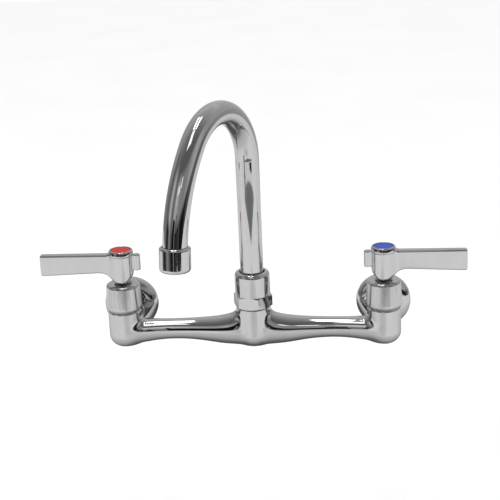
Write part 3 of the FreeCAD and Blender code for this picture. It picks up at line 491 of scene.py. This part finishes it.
def useTree(item, tree, values):
    modifier = item.modifiers.new(tree.name, "NODES")
    modifier.node_group = tree
    for socket in tree.interface.items_tree:
        if socket.in_out == "INPUT" and socket.name in values:
            modifier[socket.identifier] = values[socket.name]


def keepMesh(item, name, finish, sharp):
    shape = item.evaluated_get(bpy.context.evaluated_depsgraph_get())
    mesh = bpy.data.meshes.new_from_object(shape)
    bpy.data.objects.remove(item)
    mesh.name = name
    mesh.materials.clear()
    mesh.materials.append(finish)
    mesh.set_sharp_from_angle(angle=math.radians(sharp))
    kept = bpy.data.objects.new(name, mesh)
    scene.collection.objects.link(kept)
    return kept


def tubeTree():
    tree, source = pathTree("sweptTube", ["radius", "sides"])
    ring = addNode(tree, "GeometryNodeCurvePrimitiveCircle")
    sweep = addNode(tree, "GeometryNodeCurveToMesh")
    link(tree, source.outputs["radius"], ring.inputs["Radius"])
    link(tree, source.outputs["sides"], ring.inputs["Resolution"])
    link(tree, source.outputs["Geometry"], sweep.inputs["Curve"])
    link(tree, ring.outputs["Curve"], sweep.inputs["Profile Curve"])
    sweep.inputs["Fill Caps"].default_value = True
    endTree(tree, source, sweep.outputs["Mesh"])
    return tree


# gooseneck: straight riser, crown arc, wider drop arc and a short leg, in the upright plane of the spout
gooseneck = {
    "radius": 9.02, "sides": 120, "foot": 31.0, "riserTop": 135.5, "crownRadius": 45.2, "crownTurn": 137.4,
    "dropRadius": 123.3, "dropTurn": 37.8, "leg": 2.8, "swing": 23.9, "step": 0.7, "riserSteps": 24, "sharp": 60,
}


def gooseneckPath():
    g = gooseneck
    count, riser = g["riserSteps"], g["riserTop"] - g["foot"]
    places = [(0, g["foot"] + riser * i / count) for i in range(count)]
    reach, level = g["crownRadius"], g["riserTop"]
    full = g["crownTurn"] + g["dropTurn"]
    arcs = [(g["crownRadius"], 0, g["crownTurn"]), (g["dropRadius"], g["crownTurn"], full)]
    for radius, first, last in arcs:
        count = round(math.radians(last - first) * radius / g["step"])
        for i in range(count + 1):
            angle = math.radians(first + (last - first) * i / count)
            places.append((reach - radius * math.cos(angle), level + radius * math.sin(angle)))
        turn = math.radians(last)
        if last != full:
            reach += (g["dropRadius"] - radius) * math.cos(turn)
            level -= (g["dropRadius"] - radius) * math.sin(turn)
            places.pop()
    out, up = places[-1]
    turn = math.radians(full)
    places.append((out + g["leg"] * math.sin(turn), up + g["leg"] * math.cos(turn)))
    aside, forward = math.sin(math.radians(g["swing"])), math.cos(math.radians(g["swing"]))
    spots = [(-out * aside, -out * forward - casting["standoff"], up - casting["rise"]) for out, up in places]
    return [tuple(size / perMetre for size in spot) for spot in spots]


def makeGooseneck():
    places = gooseneckPath()
    curve = bpy.data.curves.new("gooseneckPath", "CURVE")
    curve.dimensions = "3D"
    spline = curve.splines.new("POLY")
    spline.points.add(len(places) - 1)
    for point, place in zip(spline.points, places):
        point.co = (*place, 1)
    item = bpy.data.objects.new("gooseneckPath", curve)
    scene.collection.objects.link(item)
    values = {"radius": gooseneck["radius"] / perMetre, "sides": gooseneck["sides"], "Finish": tubeChrome}
    useTree(item, tubeTree(), values)
    kept = keepMesh(item, "gooseneckTube", tubeChrome, gooseneck["sharp"])
    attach(kept, "spout")
    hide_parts("spout_tube")


# inlet shank: core turned about the inlet axis as radius and depth, then its two threaded runs
shank = {
    "sides": 96, "turnSteps": 64, "sharp": 35,
    "core": [(6.8, -22.5), (10.48, -22.5), (10.48, -4.4), (9.58, -3.5), (9.58, 13.6), (9.0, 14.2), (9.0, 15.8),
             (9.3, 16.2), (9.3, 26.4), (8.8, 27.0), (6.8, 27.0)],
    "runs": [(10.48, -2.6, 15.6), (10.2, 17.0, 8.6)],  # crest radius, start and length
    "pitch": 1.81, "depth": 0.9, "flank": 0.47,
}


# screw thread: a diamond section swept along a helix about the inlet axis and joined to the core
def threadTree():
    tree, source = pathTree("screwThread", ["pitch", "radius", "depth", "start", "length", "aside"])
    helix = addNode(tree, "GeometryNodeCurveSpiral")
    helix.inputs["Resolution"].default_value = shank["turnSteps"]
    turns = mathNode(tree, "DIVIDE", source.outputs["length"], source.outputs["pitch"])
    link(tree, turns, helix.inputs["Rotations"])
    middle = mathNode(tree, "SUBTRACT", source.outputs["radius"], source.outputs["depth"])
    for end in ("Start Radius", "End Radius"):
        link(tree, middle, helix.inputs[end])
    link(tree, source.outputs["length"], helix.inputs["Height"])
    upright = addNode(tree, "GeometryNodeSetCurveNormal", mode="Z_UP")
    link(tree, helix.outputs["Curve"], upright.inputs["Curve"])
    section = addNode(tree, "GeometryNodeCurvePrimitiveQuadrilateral", mode="KITE")
    link(tree, mathNode(tree, "MULTIPLY", source.outputs["depth"], 2.0), section.inputs["Width"])
    for end in ("Bottom Height", "Top Height"):
        link(tree, mathNode(tree, "MULTIPLY", source.outputs["pitch"], shank["flank"]), section.inputs[end])
    sweep = addNode(tree, "GeometryNodeCurveToMesh")
    link(tree, upright.outputs["Curve"], sweep.inputs["Curve"])
    link(tree, section.outputs["Curve"], sweep.inputs["Profile Curve"])
    sweep.inputs["Fill Caps"].default_value = True
    place = addNode(tree, "ShaderNodeCombineXYZ")
    link(tree, source.outputs["aside"], place.inputs["X"])
    link(tree, source.outputs["start"], place.inputs["Y"])
    seat = addNode(tree, "GeometryNodeTransform")
    seat.inputs["Rotation"].default_value = (-math.pi / 2, 0, 0)
    link(tree, sweep.outputs["Mesh"], seat.inputs["Geometry"])
    link(tree, place.outputs["Vector"], seat.inputs["Translation"])
    both = addNode(tree, "GeometryNodeJoinGeometry")
    for part in (seat.outputs["Geometry"], source.outputs["Geometry"]):
        link(tree, part, both.inputs["Geometry"])
    endTree(tree, source, both.outputs["Geometry"])
    return tree


def turnedMesh(name, profile, sides, aside):
    count = len(profile)
    spots = []
    for i in range(sides):
        angle = 2 * math.pi * i / sides
        across, up = math.cos(angle) / perMetre, math.sin(angle) / perMetre
        spots += [(aside + radius * across, depth / perMetre, radius * up) for radius, depth in profile]
    faces = []
    for i in range(sides):
        here, there = i * count, (i + 1) % sides * count
        for j in range(count):
            k = (j + 1) % count
            faces.append((here + j, here + k, there + k, there + j))
    return addMesh(name, spots, faces)


def makeShanks():
    tree = threadTree()
    finish = finishOf["inlet_shank"]
    for side, way in (("hot", -1), ("cold", 1)):
        aside = way * casting["half"] / perMetre
        item = turnedMesh(side + "ShankCore", shank["core"], shank["sides"], aside)
        for radius, start, length in shank["runs"]:
            lengths = {"pitch": shank["pitch"], "depth": shank["depth"], "radius": radius, "start": start,
                       "length": length}
            values = {label: size / perMetre for label, size in lengths.items()}
            useTree(item, tree, {**values, "aside": aside, "Finish": finish})
        kept = keepMesh(item, side + "Shank", finish, shank["sharp"])
        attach(kept, "faucet_body")
        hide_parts(side + "_inlet_shank")


makeGooseneck()
makeShanks()
print("path pieces made")


# room around the part: white surroundings and a pale floor, then what only reflections see
room = {
    "floorLevel": -0.175, "floorReach": 3.0, "floorDark": (0.93, 0.93, 0.93), "floorLight": (0.95, 0.95, 0.95),
    "floorRough": 0.9, "floorGrain": 6, "floorDetail": 2.0,
    "shellRadius": 5.0, "shellColumns": 96, "shellRows": 48,
}

world = bpy.data.worlds.new("studioWorld")
scene.world = world
world.use_nodes = True
backdrop = world.node_tree.nodes["Background"]
backdrop.inputs["Color"].default_value = (1, 1, 1, 1)
backdrop.inputs["Strength"].default_value = 1.0


def makeFloor():
    reach, level = room["floorReach"], room["floorLevel"]
    corners = [(-reach, -reach), (reach, -reach), (reach, reach), (-reach, reach)]
    floor = addMesh("floor", [(x, y, level) for x, y in corners], [(0, 1, 2, 3)])
    material, tree = newMaterial("paleFloor")
    shader = addNode(tree, "ShaderNodeBsdfPrincipled")
    setInputs(shader, Roughness=room["floorRough"])
    stops = [(noiseLow, room["floorDark"]), (noiseHigh, room["floorLight"])]
    tone = noiseNode(tree, room["floorGrain"], room["floorDetail"])
    link(tree, rampNode(tree, tone, stops), shader.inputs["Base Color"])
    finishMaterial(tree, shader.outputs["BSDF"])
    floor.data.materials.append(material)
    floor.visible_glossy = False


# the chrome mirrors it, the camera and the lit surfaces don't see it
def reflectedOnly(item):
    item.visible_camera = item.visible_diffuse = item.visible_shadow = False


def glowMaterial(name, build):
    material, tree = newMaterial(name)
    coords = addNode(tree, "ShaderNodeTexCoord")
    glow = addNode(tree, "ShaderNodeEmission")
    link(tree, build(tree, coords.outputs["Object"]), glow.inputs["Color"])
    finishMaterial(tree, glow.outputs["Emission"])
    return material


# distance from a spot's middle on a flat sheet, 1 at its edge
def spotDistance(tree, coords, middle, half):
    mapping = addNode(tree, "ShaderNodeMapping", vector_type="TEXTURE")
    mapping.inputs["Location"].default_value = (*middle, 0)
    mapping.inputs["Scale"].default_value = (*half, 1)
    link(tree, coords, mapping.inputs["Vector"])
    flat = addNode(tree, "ShaderNodeVectorMath", operation="MULTIPLY")
    flat.inputs[1].default_value = (1, 1, 0)
    link(tree, mapping.outputs["Vector"], flat.inputs[0])
    length = addNode(tree, "ShaderNodeVectorMath", operation="LENGTH")
    link(tree, flat.outputs["Vector"], length.inputs[0])
    return length.outputs["Value"]


# table seen in the chrome: tones by depth, darkened by a tongue in front and by spots as middle, half size
# and tone from the middle out, the shade under the part and a faint one in front of it
table = {
    "level": -0.12, "front": -1.08, "back": 0.7,
    "outline": [(-1.5, 0.7), (-1.5, -0.05), (-0.9, -0.12), (-0.9, -0.42), (-0.6, -1.0), (-0.5, -1.08),
                (0.5, -1.08), (0.95, -0.6), (1.6, -0.45), (1.6, 0.7)],
    "tongue": {"axis": -0.038, "angle": 9.5, "halfAngle": 47.5, "tip": 0.575, "tipShare": 0.02, "tipFade": 0.02,
               "full": 0.76, "end": 0.86, "tone": 0.24, "edge": 0.86, "edgeTone": 0.288},
    "byDepth": [(-1.08, 0.7), (-0.95, 0.88), (-0.6, 0.95), (-0.45, 1.0), (0.1, 0.9), (0.7, 0.8)],
    "spots": [
        ((0, 0.15), (0.45, 0.48),
         [(0.33, 0.13), (0.42, 0.26), (0.47, 0.42), (0.53, 0.59), (0.6, 0.69), (0.71, 0.78), (1, 1)]),
        ((0.03, -0.4), (0.2, 0.17), [(0, 0.7), (0.4, 0.78), (1, 1)]),
    ],
}


# distance from the middle line of a dark tongue that fans out from the spout's axis, 1 at its edge
def tongueDistance(tree, coords, t):
    parts = addNode(tree, "ShaderNodeSeparateXYZ")
    link(tree, coords, parts.inputs[0])
    ahead = mathNode(tree, "SUBTRACT", t["axis"], parts.outputs["Y"])
    angle = mathNode(tree, "ARCTAN2", parts.outputs["X"], ahead)
    squares = [mathNode(tree, "MULTIPLY", way, way) for way in (parts.outputs["X"], ahead)]
    far = mathNode(tree, "SQRT", mathNode(tree, "ADD", *squares))
    narrow = mapRange(tree, far, t["tip"], t["full"], t["tipShare"], 1)
    aside = mathNode(tree, "SUBTRACT", angle, math.radians(t["angle"]))
    aside = mathNode(tree, "DIVIDE", mathNode(tree, "DIVIDE", aside, math.radians(t["halfAngle"])), narrow)
    beyond = mapRange(tree, far, t["full"], 2 * t["end"] - t["full"], 0, 2)
    before = mapRange(tree, far, t["tip"] - t["tipFade"], t["tip"], 2, 0)  # closes the tip
    total = mathNode(tree, "MULTIPLY", aside, aside)
    for end in (beyond, before):
        total = mathNode(tree, "ADD", total, mathNode(tree, "MULTIPLY", end, end))
    return mathNode(tree, "SQRT", total)


def scaleColour(tree, colour, darken):
    scaled = addNode(tree, "ShaderNodeVectorMath", operation="MULTIPLY")
    link(tree, colour, scaled.inputs[0])
    link(tree, darken, scaled.inputs[1])
    return scaled.outputs["Vector"]


def makeTable():
    front, back, level = table["front"], table["back"], table["level"]
    corners = table["outline"]
    item = addMesh("reflectedTable", [(x, y, level) for x, y in corners], [range(len(corners))])

    def build(tree, coords):
        split = addNode(tree, "ShaderNodeSeparateXYZ")
        link(tree, coords, split.inputs["Vector"])
        stops = [((depth - front) / (back - front), (tone, tone, tone)) for depth, tone in table["byDepth"]]
        base = rampNode(tree, mapRange(tree, split.outputs["Y"], front, back, 0, 1), stops)
        for middle, half, tones in table["spots"]:
            stops = [(place, (tone, tone, tone)) for place, tone in tones]
            darken = rampNode(tree, spotDistance(tree, coords, middle, half), stops, "EASE")
            base = scaleColour(tree, base, darken)
        tongue = table["tongue"]
        stops = [(0.0, (tongue["tone"],) * 3), (tongue["edge"], (tongue["edgeTone"],) * 3), (1.0, (1, 1, 1))]
        darken = rampNode(tree, tongueDistance(tree, coords, tongue), stops)
        return scaleColour(tree, base, darken)

    item.data.materials.append(glowMaterial("tableTone", build))
    reflectedOnly(item)


# brightness of the shell by the angle up from the front horizon, then in two bands by the turn to the right,
# each band from the lower to the upper angle with its fade
shell = {
    "overFront": [(-180, 0.85), (-14, 0.5), (-8, 0.25), (10, 0.25), (25, 0.24), (40, 0.14), (60, 0.16), (80, 0.24),
                  (100, 0.38), (120, 0.5), (140, 0.7), (160, 0.75), (180, 0.85)],
    "alongUpper": [(-180, 0.6), (-140, 0.45), (-115, 0.42), (-92, 0.15), (-80, 0.2), (-70, 0.38), (-60, 0.66),
                   (-51, 0.5), (-41, 0.25), (-31, 0.16), (-21, 0.42), (-11, 0.75), (-1, 0.5), (9, 0.35),
                   (40, 0.3), (55, 0.42), (73, 0.55), (95, 0.4), (180, 0.6)],
    "alongHorizon": [(-180, 0.6), (-150, 0.42), (-128, 0.3), (-85, 0.2), (-76, 0.02), (-64, 0.02), (-54, 0.25),
                     (-45, 0.33), (-32, 0.09), (-18, 0.03), (-8, 0.012), (4, 0.012), (14, 0.06), (22, 0.02),
                     (32, 0.1), (38, 0.012), (60, 0.012), (70, 0.04), (80, 0.12), (100, 0.16), (118, 0.35),
                     (180, 0.6)],
    "bands": [("alongUpper", -40, 34, 10), ("alongHorizon", -40, 6, 7)],
}


def degreeStops(pairs):
    return [((angle + 180) / 360, (tone, tone, tone)) for angle, tone in pairs]


def makeShell():
    columns, rows, radius = room["shellColumns"], room["shellRows"], room["shellRadius"]
    points, faces = [], []
    for row in range(rows + 1):
        tilt = math.pi * (row / rows - 0.5)
        for column in range(columns):
            turn = 2 * math.pi * column / columns
            level = radius * math.cos(tilt)
            points.append((level * math.cos(turn), level * math.sin(turn), radius * math.sin(tilt)))
    for row in range(rows):
        for column in range(columns):
            after = (column + 1) % columns
            faces.append((row * columns + column, row * columns + after,
                          (row + 1) * columns + after, (row + 1) * columns + column))
    item = addMesh("roomShell", points, faces)

    def build(tree, coords):
        unit = addNode(tree, "ShaderNodeVectorMath", operation="NORMALIZE")
        link(tree, coords, unit.inputs[0])
        split = addNode(tree, "ShaderNodeSeparateXYZ")
        link(tree, unit.outputs["Vector"], split.inputs["Vector"])
        x, y, z = (split.outputs[axis] for axis in "XYZ")
        front = mathNode(tree, "MULTIPLY", y, -1.0)
        over = mapRange(tree, mathNode(tree, "ARCTAN2", z, front), -math.pi, math.pi, 0, 1)
        around = mapRange(tree, mathNode(tree, "ARCTAN2", x, front), -math.pi, math.pi, 0, 1)
        rise = mathNode(tree, "ARCSINE", z)
        tone = rampNode(tree, over, degreeStops(shell["overFront"]))
        for key, *angles in shell["bands"]:
            low, high, fade = (math.radians(angle) for angle in angles)
            inside = mathNode(tree, "MULTIPLY", mapRange(tree, rise, low - fade, low, 0, 1),
                              mapRange(tree, rise, high, high + fade, 1, 0))
            mix = addNode(tree, "ShaderNodeMix", data_type="RGBA")  # colours go in at 6 and 7, out at 2
            link(tree, inside, mix.inputs[0])
            link(tree, tone, mix.inputs[6])
            link(tree, rampNode(tree, around, degreeStops(shell[key])), mix.inputs[7])
            tone = mix.outputs[2]
        return tone

    item.data.materials.append(glowMaterial("dimRoom", build))
    reflectedOnly(item)


# upright or flat sheets that the chrome reflects, as four corners and a tone
sheets = {
    "darkLeft": ([(-0.5, -1.2, -0.2), (-0.185, -1.2, -0.2), (-0.185, -1.2, 0.40), (-0.5, -1.2, 0.40)], 0.01),
    "darkPost": ([(-0.22, -1.19, 0.38), (-0.185, -1.19, 0.38), (-0.185, -1.19, 0.56), (-0.22, -1.19, 0.56)], 0.03),
    "greyMiddle": ([(-0.19, -1.22, -0.2), (-0.08, -1.22, -0.2), (-0.08, -1.22, 0.35), (-0.19, -1.22, 0.35)], 0.25),
    "darkMiddle": ([(-0.08, -1.2, -0.1), (0.12, -1.2, -0.1), (0.12, -1.2, 0.2), (-0.08, -1.2, 0.2)], 0.012),
    "dimMiddle": ([(-0.06, -1.21, 0.19), (0.1, -1.21, 0.19), (0.1, -1.21, 0.42), (-0.06, -1.21, 0.42)], 0.13),
    "lightLeft": ([(-0.27, -1.25, 0.74), (0.04, -1.25, 0.74), (0.04, -1.25, 0.88), (-0.27, -1.25, 0.88)], 1.2),
    "crownLight": ([(-0.31, -0.3, 1.5), (0.0, -0.3, 1.5), (0.06, -0.9, 1.5), (-0.42, -0.9, 1.5)], 1.8),
    "darkRight": ([(0.30, -0.94, -0.12), (0.63, -0.68, -0.12), (0.63, -0.68, -0.07), (0.30, -0.94, -0.07)], 0.03),
    "lightMiddle": ([(0.14, -1.25, 0.80), (0.25, -1.25, 0.80), (0.25, -1.25, 1.0), (0.14, -1.25, 1.0)], 1.6),
}
sheetGrain = {"uneven": 0.15, "scale": 9.0, "detail": 2.0}


def makeSheets():
    for name, (corners, tone) in sheets.items():
        item = addMesh(name, corners, [(0, 1, 2, 3)])

        def build(tree, coords):
            noise = addNode(tree, "ShaderNodeTexNoise")
            setInputs(noise, Scale=sheetGrain["scale"], Detail=sheetGrain["detail"])
            link(tree, coords, noise.inputs["Vector"])
            dim, bright = (1 - sheetGrain["uneven"]) * tone, (1 + sheetGrain["uneven"]) * tone
            return rampNode(tree, noise.outputs["Fac"], [(noiseLow, (dim,) * 3), (noiseHigh, (bright,) * 3)])

        item.data.materials.append(glowMaterial(name + "Tone", build))
        reflectedOnly(item)


# lamps facing straight down unless aimed, as place, aim, width, length and watts
lamps = {
    "leftStrip": ((-0.29, 0.1, 1.5), None, 0.12, 0.66, 1.4),
    "rightStrip": ((0.05, -0.02, 1.5), None, 0.12, 0.6, 1.25),
    "frontSoft": ((-1.6, -1.6, 2.2), (0, 0, 0.05), 0.8, 0.8, 8.0),
}


def makeLamps():
    for name, (place, aim, width, length, watts) in lamps.items():
        lamp = bpy.data.lights.new(name, "AREA")
        lamp.shape = "RECTANGLE"
        lamp.size, lamp.size_y, lamp.energy = width, length, watts
        item = bpy.data.objects.new(name, lamp)
        item.location = place
        if aim:
            item.visible_glossy = False  # lights the dull pieces only
            item.rotation_euler = (Vector(aim) - Vector(place)).to_track_quat("-Z", "Y").to_euler()
        scene.collection.objects.link(item)


makeFloor()
makeTable()
makeShell()
makeSheets()
makeLamps()
print("room ready")


# camera fitted to the photograph, as its place and its right, up and viewing directions
view = {
    "place": (0.088842, -1.072682, 0.394709),
    "right": (0.99649349, 0.07314784, -0.04062173),
    "up": (0.01567692, 0.31367173, 0.94940207),
    "ahead": (-0.0821886, 0.9467098, -0.3114251),
    "lens": 102.015, "sensor": 36.0, "shift": 0.0005, "near": 0.01, "far": 50,
}


def makeCamera():
    data = bpy.data.cameras.new("photoCamera")
    data.lens, data.sensor_width, data.sensor_fit = view["lens"], view["sensor"], "HORIZONTAL"
    data.shift_x = view["shift"]
    data.clip_start, data.clip_end = view["near"], view["far"]
    item = bpy.data.objects.new("photoCamera", data)
    axes = Matrix((view["right"], view["up"], tuple(-step for step in view["ahead"]))).transposed()
    item.matrix_world = Matrix.Translation(view["place"]) @ axes.to_4x4()
    scene.collection.objects.link(item)
    scene.camera = item


makeCamera()
print("camera set")
